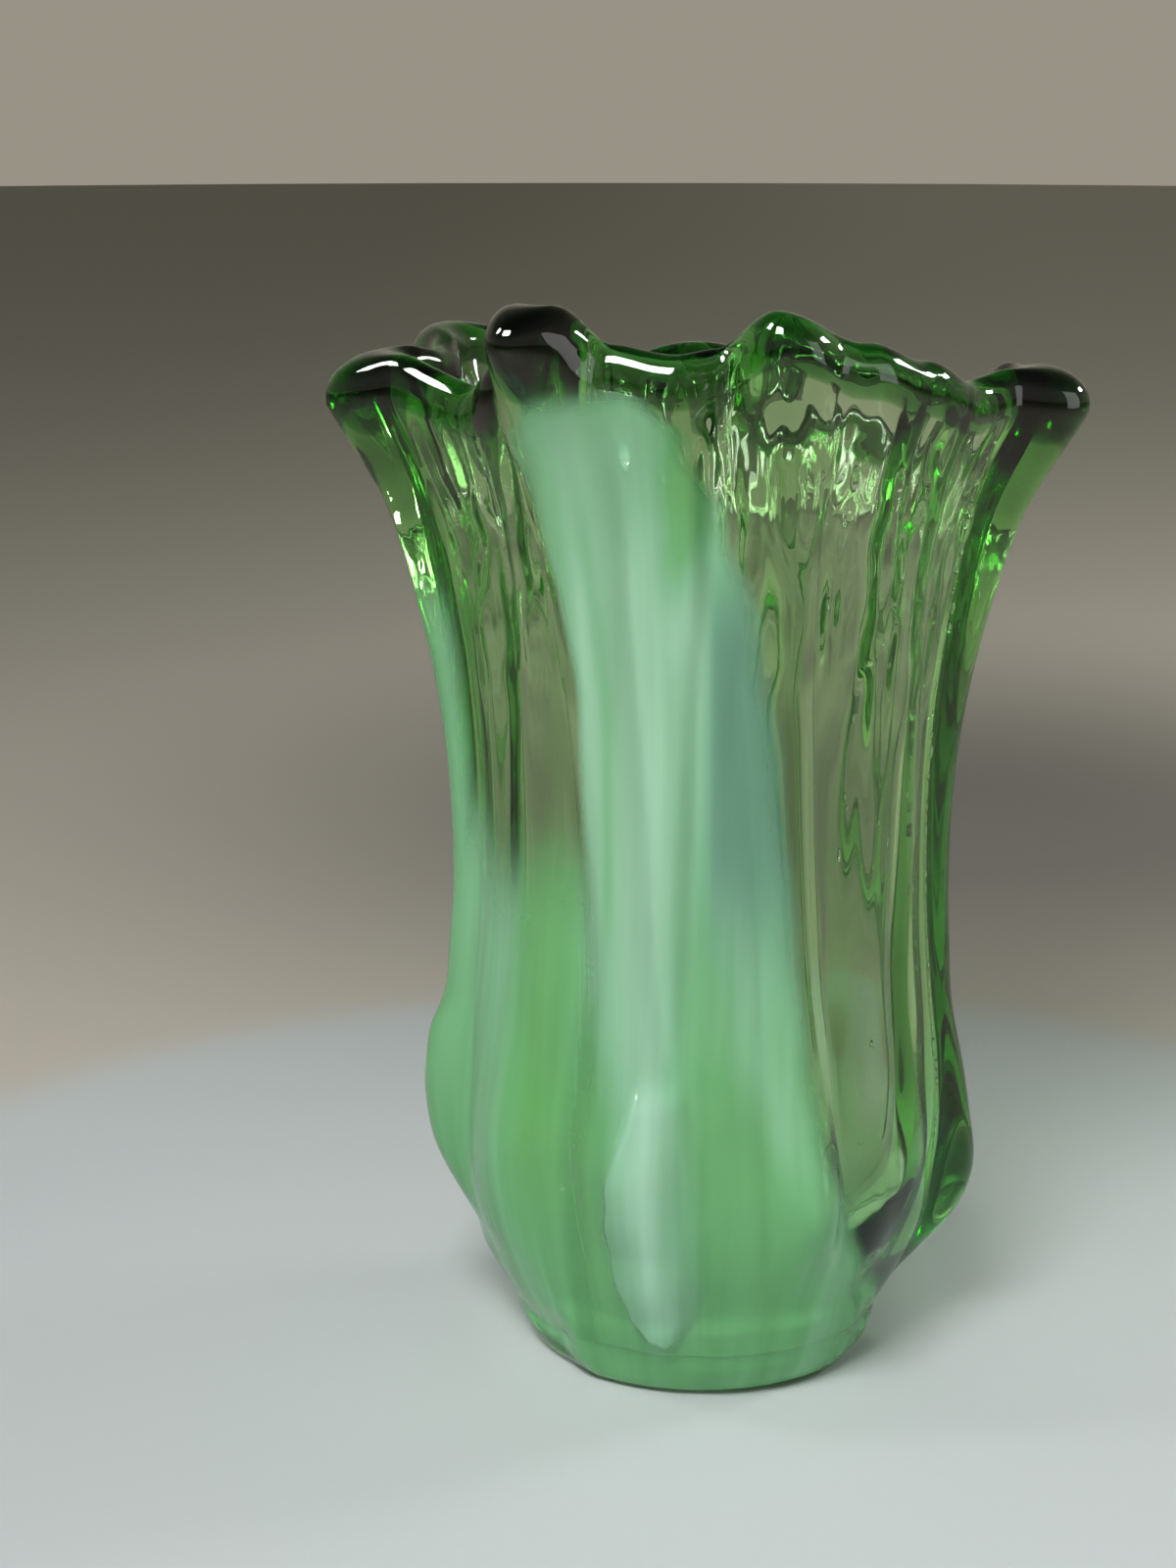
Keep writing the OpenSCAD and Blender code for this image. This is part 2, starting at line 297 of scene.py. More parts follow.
# Radii and heights in millimetres. The foot's size comes from the CAD.
FOOT_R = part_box("base_pad")[1].x / MM
FOOT_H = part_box("base_pad")[1].z / MM
WALL_TOP = 231.0
WAIST_Z, BELLY_Z, HEEL_Z = 112.0, 54.0, 25.0
FLOOR_Z = FOOT_H + 9
FOOT_IN = 5.5
OUTER = [Vector(p) for p in ((FOOT_R - 1, FOOT_H), (52, HEEL_Z), (59, BELLY_Z), (55, WAIST_Z),
                             (55, 162), (60, 206), (67.5, WALL_TOP))]
INNER = [Vector(p) for p in ((FOOT_R - 6, FLOOR_Z + 4), (46.5, HEEL_Z + 9), (54, BELLY_Z + 2),
                             (50, WAIST_Z), (50, 162), (55, 206), (62.5, WALL_TOP))]
SPANS = len(OUTER) - 1


def curve(points, t):
    """The point t stops along a smooth curve through a list of stops."""
    k = min(int(t), len(points) - 2)
    f = t - k
    a, b, c, d = (points[min(max(k + n, 0), len(points) - 1)] for n in (-1, 0, 1, 2))
    return b + f * ((c - a) / 2 + f * (a - 2.5 * b + 2 * c - d / 2
                                       + f * (1.5 * b - a / 2 - 1.5 * c + d / 2)))


def ease(f):
    """A soft step from 0 to 1."""
    f = min(max(f, 0.0), 1.0)
    return f * f * (3 - 2 * f)


def follow(stops, x):
    """The value at x of a list of (x, value) stops, with a soft step between them."""
    for (x0, a), (x1, b) in zip(stops, stops[1:]):
        if x <= x1:
            return a + (b - a) * ease((x - x0) / (x1 - x0))
    return stops[-1][1]


def apart(a, b):
    """Degrees from angle b to angle a, the shorter way round."""
    return (a - b + 180) % 360 - 180


# %% [markdown]
# The rim is a list of stops round the vase. At each one the wall rises or dips, folds out
# or in, and leans round on its way down to the foot.

# %% Rim, ribs and their reach
RIM = [(0, -1, .6, 0), (16, -10, -.2, 0), (40, -8, .8, 0), (64, -11, -.2, 0), (92, -3, .5, 0),
       (116, -9, -.3, 0), (148, 5, .8, 0), (168, 0, -.1, 0), (188, 4, 1, 2), (216, -3, -.4, 8),
       (231, 5, .3, 14), (238, 17.5, .8, 18), (245, 17.5, .8, 18), (252, 9, .1, 18),
       (264, 7, 0, 18), (272, 8, -.4, 17), (282, 16.5, .3, 15), (300, 9, .2, 11),
       (316, 4, 0, 7), (332, -2, 0, 3), (352, 1, 1, 0), (360, -1, .6, 0)]
RISE, FOLD, LEAN = ([(stop[0], stop[n]) for stop in RIM] for n in (1, 2, 3))
FOLD_REACH, EAR_REACH, EAR_DROOP = 8.0, 10.0, 5.0
RIB_REACH, KNUCKLE_REACH = 4.5, 8.0

# Each rib: angle at the rim, reach at the rim, share of the droop, and its knuckles, each
# with its height, its share of the full reach, and how far it runs up and down.
RIBS = {
    "rib_left": (188, EAR_REACH, 1, ((78, .46, 8, 34), (24, .2, 8, 8))),
    "rib_front_left": (242, EAR_REACH, 0, ((62, .4, 9, 14), (30, .3, 9, 9))),
    "rib_front": (284, 4, 0, ((50, .3, 12, 12),)),
    "rib_right": (352, EAR_REACH, .6, ((36, .95, 24, 14),)),
    "rib_back_right": (40, 8, .5, ((70, .2, 9, 9), (42, .4, 9, 12))),
    "rib_back": (92, 6, .5, ((60, .5, 9, 12), (30, .4, 9, 9))),
    "rib_back_left": (148, 8, .5, ((70, .6, 9, 20), (38, .4, 9, 9))),
}
RIB_WIDTH = [(10, 9), (30, 12), (60, 11.5), (110, 9), (180, 9), (215, 11), (240, 10)]


@functools.lru_cache(maxsize=None)
def rim_at(angle):
    """How far the rim rises, folds and leans at an angle."""
    return follow(RISE, angle), follow(FOLD, angle), follow(LEAN, angle)


def flare_at(z):
    """How far up the flare a height is, from 0 at the waist to 1 at the rim."""
    return min(max((z - WAIST_Z) / (WALL_TOP - WAIST_Z), 0.0), 1.0) ** 1.7


def crest(rib, z):
    """How far the top of a rib stands off the wall at a height."""
    _, reach, _, knuckles = RIBS[rib]
    low, top = ease((z - HEEL_Z) / (BELLY_Z - HEEL_Z)), flare_at(z)
    end = ease((z - FOOT_H) / (HEEL_Z - FOOT_H))
    bulge = max(share * math.exp(-((z - k) / (up if z > k else down)) ** 2)
                for k, share, up, down in knuckles)
    return RIB_REACH * low * (1 - top) + reach * top + end * KNUCKLE_REACH * bulge


def ribs_at(angle, z):
    """How far the nearest rib stands out here, and how far it hangs."""
    width = follow(RIB_WIDTH, z)
    for rib, (middle, _, share, _) in RIBS.items():
        x = apart(angle, middle) / width
        if abs(x) < 1:
            out = crest(rib, z) * (1 - x * x) ** 1.5
            return out, EAR_DROOP * share * out / EAR_REACH * flare_at(z)
    return 0.0, 0.0


print(len(RIBS), "ribs, the tallest stands off the wall", EAR_REACH, "mm at the rim")

# %% [markdown]
# Hand work leaves more than the main folds. The drip at the front is the soft end of a
# trail that ran down and froze, a crease runs down from the rim beside the tall ear, and
# the whole wall carries long shallow pleats, some inside and some outside. The pleats are
# what bend the view through the glass into upright streaks.

# %% Drip, creases and pleats
DRIP_MIDDLE, DRIP_TIP, DRIP_TOP = 262.0, 15.5, 81.0
DRIP_WIDTH = [(15.5, 0.5), (18, 5), (24, 9), (40, 12.5), (60, 11), (81, 6), (84, 5)]
DRIP_PROUD, DRIP_FADE = 2.4, 3


def drip(angle, z):
    """The raised tongue of glass low at the front: sharp on its left, soft on its right."""
    if not DRIP_TIP < z < DRIP_TOP + DRIP_FADE:
        return 0.0
    side = apart(angle, DRIP_MIDDLE)
    width = follow(DRIP_WIDTH, z) + noise.noise(Vector((z / 9, 0, 3))) * 1.2
    edge = 1 - abs(side) / width
    soft = 0.16 if side < 0 else 0.75
    return DRIP_PROUD * ease(edge / soft) * ease((DRIP_TOP + DRIP_FADE - z) / 5)


def groove(angle, z, path, depth, half):
    """A crease that follows a path of (height, angle) stops, deepest in its middle."""
    if z < path[0][0]:
        return 0.0
    fade = ease((z - path[0][0]) / 25)
    return -depth * fade * math.exp(-(apart(angle, follow(path, z)) / half) ** 2)


CREASE = [(82, 266), (120, 268), (160, 269), (200, 271), (240, 274)]
EAR_SPLIT = [(170, 249), (200, 248), (245, 246)]


def pleats(angle, z, side):
    """Long upright pleats, stronger inside, with crumples where the rim was worked."""
    a = math.radians(angle)
    around = Vector((math.cos(a), math.sin(a), 0))
    high = ease((z - 140) / 60)
    out = noise.noise(around * 4.5 + Vector((0, 0, z / 90))) * 0.9
    out += noise.noise(around * 11 + Vector((4, 0, z / 50))) * (0.05 + 0.55 * high)
    inner = noise.noise(around * 4.5 + Vector((3, 5, z / 70 + 9))) * (0.9 + 1.0 * high)
    inner += noise.noise(around * 12 + Vector((7, 1, z / 38))) * (0.08 + 1.3 * high)
    crumple = ease((z - 150) / 40)
    inner += noise.noise(around * 7 + Vector((2, 8, z / 11))) * 1.25 * crumple
    inner += noise.noise(around * 16 + Vector((9, 3, z / 9))) * 0.7 * crumple
    lumps = noise.noise(Vector((around.x * 2.6, around.y * 2.6, z / 26))) * 2.0
    lumps *= 1 - ease((z - 70) / 50)
    calm = 1 - 0.7 * ease((z - 224) / 10)
    out = (out * calm + lumps) * ease((z - 12) / 25)
    inner = inner * calm * ease((z - FLOOR_Z - 6) / 25)
    return out * side + inner * (1 - side)


KNOB_MIDDLE, KNOB_Z, KNOB_PROUD = 241, 232, 3.0


def knob(angle, z):
    """The fat end of the tall ear, where the trail was pinched off."""
    x, y = apart(angle, KNOB_MIDDLE) / 5, (z - KNOB_Z) / 12
    return KNOB_PROUD * math.exp(-x ** 2 - y ** 2)


def foot_x(z):
    """The radius of the plain foot at a height."""
    return FOOT_R - 1 - FOOT_IN * (1 - math.sqrt(1 - (1 - min(z / FOOT_H, 1)) ** 2))


def apron(angle, z):
    """The fuller bottom at the front, where opal glass sagged over the foot."""
    if z > HEEL_Z:
        return 0.0
    plain = foot_x(z) if z < FOOT_H else FOOT_R - 1 + (z - FOOT_H) * 0.5
    a = math.radians(angle)
    wave = noise.noise(Vector((3.2 * math.cos(a), 3.2 * math.sin(a), z / 18)))
    full = 40.3 + 11.7 * (z / HEEL_Z) ** 0.5 + 1.8 * wave * ease(z / 9)
    share = ease((angle - 222) / 16) * ease((335 - angle) / 20)
    return share * (full - plain) * ease((HEEL_Z - z) / 6)


def blown(angle, r, z, side, rib=None):
    """Where a point of the round profile ends up on the finished vase, in metres.

    side runs from 0 inside the vase to 1 outside, and rib is the share of a rib's height.
    """
    rib = side if rib is None else rib
    rise, fold, lean = rim_at(round(angle % 360, 3))
    up = flare_at(z)
    turned = angle + lean * (1 - min(1.0, z / WALL_TOP))
    out, droop = ribs_at(angle, z)
    out = out * rib + pleats(turned, z, side)
    out += side * (drip(turned, z) + groove(turned, z, CREASE, 1.8, 3.0) + knob(angle, z)
                   + groove(turned, z, EAR_SPLIT, 2.0, 2.2) * flare_at(z)
                   + apron(turned, z) * ease((r - 25) / 14))
    r += FOLD_REACH * fold * up + out
    z += rise * up - droop * rib
    turned = math.radians(turned)
    return Vector((r * math.cos(turned), r * math.sin(turned), z)) * MM


# %% [markdown]
# ## The clear wall
# The wall is one closed skin: up the inside, over the rim and down the outside to the
# ground foot. A chain of stops is spun round the axis and welded, which keeps the mesh
# even and shut at both poles, and then each point is moved by the functions above. It
# stands for both gathers and the foot pad, because light crosses them as one glass.

# %% Spin a chain
COLUMNS = 320
FLOOR_ROWS, INNER_ROWS, LIP_ROWS, OUTER_ROWS = 14, 92, 20, 112
FOOT_ROWS, UNDER_ROWS = 10, 6
LIP_BASE, LIP_HALF, LIP_HIGH = WALL_TOP + 2.3, 4.5, 6.7
LIP_MIDDLE = (OUTER[-1].x + INNER[-1].x) / 2


def spun(name, chain, closed=False, columns=COLUMNS):
    """Spins a chain of (radius, height, side) stops round the axis and blows it to shape."""
    bm = bmesh.new()
    row = bm.verts.layers.float.new("row")
    verts = []
    for n, (r, z, _) in enumerate(chain):
        verts.append(bm.verts.new((r * MM, 0, z * MM)))
        verts[-1][row] = n
    edges = [bm.edges.new(pair) for pair in zip(verts, verts[1:])]
    if closed:
        edges.append(bm.edges.new((verts[-1], verts[0])))
    bmesh.ops.spin(bm, geom=verts + edges, cent=(0, 0, 0), axis=(0, 0, 1), dvec=(0, 0, 0),
                   angle=2 * math.pi, steps=columns, use_merge=True, use_duplicate=False)
    bmesh.ops.remove_doubles(bm, verts=bm.verts, dist=1e-7)
    bmesh.ops.recalc_face_normals(bm, faces=bm.faces)
    for v in bm.verts:
        r, z, side = chain[round(v[row])]
        v.co = blown(math.degrees(math.atan2(v.co.y, v.co.x)) % 360, r, z, side)
    return keep(name, bm)


def keep(name, bm):
    """Turns a finished bmesh into a smooth object in the scene."""
    mesh = bpy.data.meshes.new(name)
    bm.to_mesh(mesh)
    bm.free()
    mesh.shade_smooth()
    piece = bpy.data.objects.new(name, mesh)
    bpy.context.scene.collection.objects.link(piece)
    triangles = sum(len(p.vertices) - 2 for p in mesh.polygons)
    print(f"{name}: {triangles} triangles")
    return piece


# %% The skin
def swell(z):
    """How much thicker the wall is on each side as it nears the rim bead."""
    return 2.0 * ease((z - 202) / (WALL_TOP - 202))


chain = []
for k in range(FLOOR_ROWS):
    r = INNER[0].x * k / FLOOR_ROWS
    chain.append((r, FLOOR_Z + 4 * ease((r - 18) / 24), 0))
for k in range(INNER_ROWS + 1):
    p = curve(INNER, SPANS * k / INNER_ROWS)
    chain.append((p.x - swell(p.y), p.y, 0))
for k in range(LIP_ROWS + 1):
    a = math.pi * (1 - k / LIP_ROWS)
    chain.append((LIP_MIDDLE + LIP_HALF * math.cos(a), LIP_BASE + LIP_HIGH * math.sin(a),
                  (1 + math.cos(a)) / 2))
for k in range(OUTER_ROWS + 1):
    p = curve(OUTER, SPANS * (1 - k / OUTER_ROWS))
    chain.append((p.x + swell(p.y), p.y, 1))
for k in range(1, FOOT_ROWS + 1):
    z = FOOT_H * (1 - math.sin(math.pi / 2 * k / FOOT_ROWS))
    chain.append((foot_x(z), z, 1))
for k in range(1, UNDER_ROWS + 1):
    chain.append((foot_x(0) * (1 - k / UNDER_ROWS), 0, 1))
skin = spun("vase_wall", chain)

# %% [markdown]
# The glass is a green so pale that a thin wall looks clear. A tinted surface would colour
# thin and thick glass alike, so the colour is in the depth instead: the volume takes a
# little more red and blue out of the light with every millimetre.

# %% Clear glass
GLASS_DENSITY, GLASS_COLOUR = 80.0, (0.31, 0.79, 0.12, 1)

material, tree, output, add = finish("pale_green_glass")
glass = add("ShaderNodeBsdfPrincipled", {"Base Color": (1, 1, 1, 1), "Roughness": 0.0,
                                         "IOR": 1.5, "Transmission Weight": 1.0})
depth = add("ShaderNodeVolumeAbsorption", {"Color": GLASS_COLOUR, "Density": GLASS_DENSITY})
tree.links.new(glass.outputs["BSDF"], output.inputs["Surface"])
tree.links.new(depth.outputs["Volume"], output.inputs["Volume"])
skin.data.materials.append(material)
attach(skin, "root")
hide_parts("inner_gather", "outer_gather")


# %% [markdown]
# ## What lies in the glass
# Trails, bead and foot are more glass, fused on. Glass modelled against glass would show a
# false bright seam, so inside the skin each of them is a closed core whose surface light
# passes straight through, filled with a deeper green. Where the glass is thick its colour
# gathers, as it does on the real rim and ears.


# %% Helpers for cores
def deeper(name, colour, density):
    """Glass that only adds colour with depth, for a core inside the clear skin."""
    material, tree, output, add = finish(name)
    clear = add("ShaderNodeBsdfTransparent", {"Color": (1, 1, 1, 1)})
    depth = add("ShaderNodeVolumeAbsorption", {"Color": colour, "Density": density})
    tree.links.new(clear.outputs["BSDF"], output.inputs["Surface"])
    tree.links.new(depth.outputs["Volume"], output.inputs["Volume"])
    return material


def slab(name, columns, rows, put):
    """A closed sheet: a grid is extruded, then each corner (u, v, w) is put in its place."""
    bm = bmesh.new()
    bmesh.ops.create_grid(bm, x_segments=columns, y_segments=rows, size=0.5)
    raised = bmesh.ops.extrude_face_region(bm, geom=list(bm.faces), use_keep_orig=True)
    for v in raised["geom"]:
        if isinstance(v, bmesh.types.BMVert):
            v.co.z = 1
    bmesh.ops.recalc_face_normals(bm, faces=bm.faces)
    for v in bm.verts:
        v.co = put(v.co.x + 0.5, v.co.y + 0.5, round(v.co.z))
    bmesh.ops.remove_doubles(bm, verts=bm.verts, dist=2e-6)
    return keep(name, bm)


# %% [markdown]
# A rib is a trail of hot glass laid down the wall and drawn out into an ear at the rim.
# Its core is a flat sheet laid on the wall under the rib and raised almost to its crest,
# by the same functions that raised the skin.


# %% Ribs
CORE_FIRST, CORE_LENGTH, CORE_WIDTH = 1.12, SPANS - 1.2, 0.8
CORE_COLUMNS, CORE_ROWS = 12, 90


def trail(rib):
    """The core of one rib, from its flat back on the wall to just under its crest."""
    middle = RIBS[rib][0]

    def put(u, v, w):
        p = curve(OUTER, CORE_FIRST + CORE_LENGTH * v)
        angle = middle + (2 * u - 1) * CORE_WIDTH * follow(RIB_WIDTH, p.y)
        share = max(1 - 0.5 / max(ribs_at(angle, p.y)[0], 0.01), 0.0) if w else 0.0
        return blown(angle, p.x - (0.5 if w else 0.8), p.y, 1, rib=share)

    return slab(rib + "_core", CORE_COLUMNS, CORE_ROWS, put)


rib_glass = deeper("rib_glass", (0.30, 0.78, 0.25, 1), 4)
for rib in RIBS:
    core = trail(rib)
    core.data.materials.append(rib_glass)
    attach(core, "root")
    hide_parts(rib)

# %% [markdown]
# The rim is a thick round bead, from a wrap of glass or from the fire, and the deepest
# green on the vase. One closed ring follows it all the way round. The three fat ears each
# hold a drop of the same glass, which is simpler than a ring that swells at every ear.

# %% Rim bead
BEAD_STOPS, BEAD_LOW = 28, 5.0

chain = []
for k in range(BEAD_STOPS):
    a = 2 * math.pi * k / BEAD_STOPS
    high = (LIP_HIGH if math.sin(a) > 0 else BEAD_LOW) - 0.5
    chain.append((LIP_MIDDLE + (LIP_HALF - 0.6) * math.cos(a), LIP_BASE + high * math.sin(a),
                  (1 + math.cos(a)) / 2))
bead = spun("rim_bead", chain, closed=True, columns=240)
deep_green = deeper("deep_green_glass", (0.12, 0.60, 0.06, 1), 260)
bead.data.materials.append(deep_green)
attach(bead, "root")
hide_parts("lip_wrap")

# %% Ear drops
# Half width and half height of each drop, in millimetres.
EARS = {"rib_left": (6.5, 6.5), "rib_front_left": (6.5, 9.5), "rib_right": (6.5, 6.5)}
bm = bmesh.new()
for rib, (half, tall) in EARS.items():
    made = bmesh.ops.create_uvsphere(bm, u_segments=28, v_segments=18, radius=MM)
    bmesh.ops.scale(bm, verts=made["verts"], vec=(half, half, tall))
    bmesh.ops.translate(bm, verts=made["verts"],
                        vec=blown(RIBS[rib][0], LIP_MIDDLE - 4, WALL_TOP - 1, 1, rib=0.72))
drops = keep("ear_drops", bm)
drops.data.materials.append(deep_green)
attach(drops, "root")

# %% [markdown]
# The foot is a thick pad of nearly clear glass. Its core is spun like the wall and stays
# half a millimetre or more inside the skin, so that the two surfaces never meet.

# %% Foot pad
chain = [(0, 0.5, 1)]
for k in range(9):
    z = 0.5 + (FOOT_H - 1) * (1 - math.cos(math.pi / 2 * k / 8))
    chain.append((foot_x(z) - 0.8, z, 1))
chain += [(FOOT_R - 14, FOOT_H + 0.5, 1), (0, FOOT_H + 0.5, 1)]
pad = spun("foot_pad", chain, columns=120)
pad.data.materials.append(deeper("foot_glass", (0.35, 0.78, 0.24, 1), 8))
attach(pad, "root")
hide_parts("base_pad")

# %% [markdown]
# ## Opal
# The milky colour is a thin layer of opal glass rolled onto the hot gather and cased over.
# A sheet inside the skin would be truer, but the lamps' light hardly reaches it there and
# it turns dark. So it is a closed sheet that lies a hair outside the skin, with a glass
# gloss of its own. An attribute says how much of it is there, so that its edges thin out
# into the clear glass as real opal does.

# %% How much opal there is
RIGHT_EDGE = [(10, 322), (30, 314), (44, 307), (68, 297), (89, 293), (119, 290), (153, 286),
              (188, 281), (211, 273.5), (228, 266), (240, 258)]
LEFT_EDGE = [(20, 236), (60, 238), (110, 241), (153, 243), (175, 244.5), (192, 242.5),
             (213, 238), (236, 232)]
SKIRT_TOP = [(0, -20), (92, -20), (112, 25), (140, 78), (170, 122), (195, 132), (215, 120),
             (235, 128), (255, 120), (275, 80), (300, 48), (318, 27), (340, 8), (352, -20)]
TONGUE_TOP = [(226, 216), (236, 230), (246, 238), (257, 240), (265, 237), (274, 226), (284, 212)]


def tongue_cover(angle, z):
    """Opal in the tongue that comes down the front from under the rim."""
    right = ease((apart(follow(RIGHT_EDGE, z), angle) + 3) / 7)
    left = ease((apart(angle, follow(LEFT_EDGE, z)) + 2) / (4 + 8 * ease((150 - z) / 40)))
    return right * left * ease((follow(TONGUE_TOP, angle) + 3 - z) / 8)


def skirt_cover(angle, z, column):
    """Opal in the skirt round the lower left, and in the milky left rib above it."""
    top = follow(SKIRT_TOP, angle)
    blur = 6 + 30 * ease(apart(275, angle) / 40)
    skirt = ease((top + blur / 2 - z) / blur)
    rib = 0.75 * ease(1.5 - abs(apart(column, 189)) / 5) * ease((196 - z) / 22)
    thin = follow([(0, 0.8), (200, 0.82), (228, 1)], angle)
    bare = follow([(0, 9), (222, 9), (246, 0)], angle)
    return max(skirt * thin, rib) * ease((z - bare) / 4 + 1)


# The main streaks: path of (height, angle), half width in degrees, and change of tone.
STREAKS = (
    (((18, 262), (60, 258), (120, 257), (180, 257), (236, 254)), 8.0, 0.34),
    (((100, 246), (150, 246), (200, 247), (235, 246)), 3.0, 0.18),
    (((60, 290), (100, 282), (160, 272), (215, 264)), 5.0, 0.16),
    (((15, 290), (45, 282), (90, 276), (120, 272)), 9.0, -0.10),
    (((50, 232), (85, 230), (140, 232)), 9.0, -0.30),
    (((20, 246), (50, 246), (85, 247)), 5.0, -0.14),
    (((20, 205), (70, 212), (130, 214)), 8.0, 0.20),
    (((10, 225), (40, 224)), 7.0, 0.08),
    (((120, 250), (165, 250), (215, 248)), 1.2, -0.18),
    (((196, 264), (215, 266), (236, 268)), 4.0, -0.50),
    (((205, 256), (236, 252)), 12.0, -0.16),
)


def tone(angle, z):
    """How pale the opal is here, from 0 for green to 1 for milky mint."""
    value = 0.34 + 0.18 * ease((z - 40) / 90)
    for path, half, change in STREAKS:
        low, high = path[0][0], path[-1][0]
        fade = ease((z - low + 12) / 24) * ease((high + 12 - z) / 24)
        x = apart(angle, follow(path, z)) / half
        value += change * fade * math.exp(-x * x)
    # Paler on the drip: partly the paler opal of the drip itself, partly painted light that brings
    # out its relief.
    return value + 0.12 * (drip(angle, z) / DRIP_PROUD)


def cool(angle, z):
    """How much of a blue cast the opal has: most on the right of the tongue."""
    right = ease((apart(angle, 270.5) + 1) / 4) * ease((z - 100) / 40) * ease((212 - z) / 30)
    soft = ease((apart(angle, 262) + 14) / 28) * ease((z - 80) / 40) * ease((225 - z) / 40)
    return 0.75 * right + 0.25 * soft


# %% [markdown]
# The opal is two sheets, the tongue down the front and the skirt round the lower left,
# as if the maker rolled on two patches. Each is a grid laid on the wall. Its corners
# carry the cover, the tone and the cool cast, and a map of the wall for the grain.


# %% Opal sheets
WALL_ROUND = 346  # millimetres round the wall, so that the map is as high as it is wide


def opal(name, first, last, low, high, proud, cover, columns, rows):
    """A sheet of opal on the outside, between two rim angles and two curve stops."""
    def put(u, v, w):
        t = low + (high - low) * v
        z = FOOT_H * (1 + t)
        p = curve(OUTER, t) if t > 0 else Vector((foot_x(z), z))
        return blown(first + (last - first) * u, p.x + swell(p.y) + proud * (1 if w else 0.6),
                     p.y, 1)

    piece = slab(name, columns, rows, put)
    mesh = piece.data
    amount = mesh.attributes.new("cover", "FLOAT", "POINT")
    paleness = mesh.attributes.new("tone", "FLOAT", "POINT")
    coolness = mesh.attributes.new("cool", "FLOAT", "POINT")
    uv = mesh.uv_layers.new(name="wall")
    places = []
    for n, v in enumerate(mesh.vertices):
        angle = math.degrees(math.atan2(v.co.y, v.co.x)) % 360
        z = v.co.z / MM
        lean = follow(LEAN, angle) * (1 - min(1.0, z / WALL_TOP))
        column = (angle - lean) % 360
        ends = ease((column - first - 1) / 5) * ease((last - 1 - column) / 5)
        amount.data[n].value = cover(angle, z, column) * ends
        paleness.data[n].value = tone(angle, z)
        coolness.data[n].value = cool(angle, z)
        places.append((angle / 360, z / WALL_ROUND))
    for loop in mesh.loops:
        uv.data[loop.index].uv = places[loop.vertex_index]
    return piece


tongue = opal("opal_tongue_layer", 205, 318, 0.3, SPANS - 0.01, 0.65,
              lambda angle, z, column: tongue_cover(angle, z), 170, 150)
skirt = opal("opal_skirt_layer", 90, 354, -0.9, 5.0, 0.38, skirt_cover, 256, 120)

# %% [markdown]
# Real opal is drawn out along the vase as it is blown, so its cloudiness runs in upright
# strands. Two noises stretched upwards, one broad and one fine, are added to the tone,
# and a ramp turns it into colour. The broad one also makes the thin edges ragged.

# %% Opal glass
material, tree, output, add = finish("opal_glass")
place = add("ShaderNodeUVMap", {"uv_map": "wall"})
# Each layer of grain: strands across, waves along, shift and strength.
BROAD, FINE = (22, 1.6, 0.0, 0.46), (80, 2.2, 4.0, 0.22)
layers = []
for across, along, shift, _ in (BROAD, FINE):
    stretch = add("ShaderNodeMapping", {"Location": (shift, 0, 0), "Scale": (across, along, 1)},
                  Vector=place.outputs["UV"])
    layers.append(add("ShaderNodeTexNoise", {"Scale": 1.0, "Detail": 3.0, "Roughness": 0.55},
                      Vector=stretch.outputs["Vector"]).outputs["Fac"])
paleness = add("ShaderNodeAttribute", {"attribute_name": "tone"})
broad = add("ShaderNodeMath", {"operation": "MULTIPLY_ADD", 1: BROAD[-1]}, i0=layers[0],
            i2=paleness.outputs["Fac"])
fine = add("ShaderNodeMath", {"operation": "MULTIPLY_ADD", 1: FINE[-1]}, i0=layers[1],
           i2=broad.outputs["Value"])
tones = add("ShaderNodeValToRGB")
level = add("ShaderNodeMapRange", {"From Min": 0.34, "From Max": 1.34},
            Value=fine.outputs["Value"])
tree.links.new(level.outputs["Result"], tones.inputs["Fac"])
TONES = ((0.0, (0.17, 0.50, 0.16, 1)), (0.35, (0.17, 0.50, 0.20, 1)),
         (0.65, (0.31, 0.64, 0.40, 1)), (1.0, (0.52, 0.84, 0.66, 1)))
tones.color_ramp.elements[0].position, tones.color_ramp.elements[0].color = TONES[0]
tones.color_ramp.elements[1].position, tones.color_ramp.elements[1].color = TONES[-1]
for position, colour in TONES[1:-1]:
    tones.color_ramp.elements.new(position).color = colour
cast = add("ShaderNodeAttribute", {"attribute_name": "cool"})
teal = add("ShaderNodeMix", {"data_type": "RGBA"}, i0=cast.outputs["Fac"],
           i6=tones.outputs["Color"])
TEAL = (0.15, 0.36, 0.25, 1)
teal.inputs[7].default_value = TEAL
body = add("ShaderNodeBsdfPrincipled", {"Roughness": 0.10, "IOR": 1.5}, Base_Color=teal.outputs[2])
clear = add("ShaderNodeBsdfTransparent", {"Color": (1, 1, 1, 1)})
amount = add("ShaderNodeAttribute", {"attribute_name": "cover"})
ragged = add("ShaderNodeMapRange", {"From Min": 0.3, "From Max": 0.7, "To Min": 0.62,
                                    "To Max": 1.0}, Value=layers[0])
cover = add("ShaderNodeMath", {"operation": "MULTIPLY", "use_clamp": True},
            i0=amount.outputs["Fac"], i1=ragged.outputs["Result"])
whole = add("ShaderNodeMixShader", {}, Fac=cover.outputs["Value"], i1=clear.outputs["BSDF"],
            i2=body.outputs["BSDF"])
tree.links.new(whole.outputs["Shader"], output.inputs["Surface"])

for piece, node in ((tongue, "opal_tongue"), (skirt, "opal_skirt")):
    shades.objects.link(piece)
    piece.data.materials.append(material)
    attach(piece, "root")
    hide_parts(node)

# %% [markdown]
# ## Trapped air
# Air caught between the gathers and under a trail stays as seeds, small round bubbles
# drawn out by the slump. They could be specks in a noise, but each is a little sphere
# that is stretched upright and set in the thickness of the wall, where it bends the light
# like the tiny lens it is.


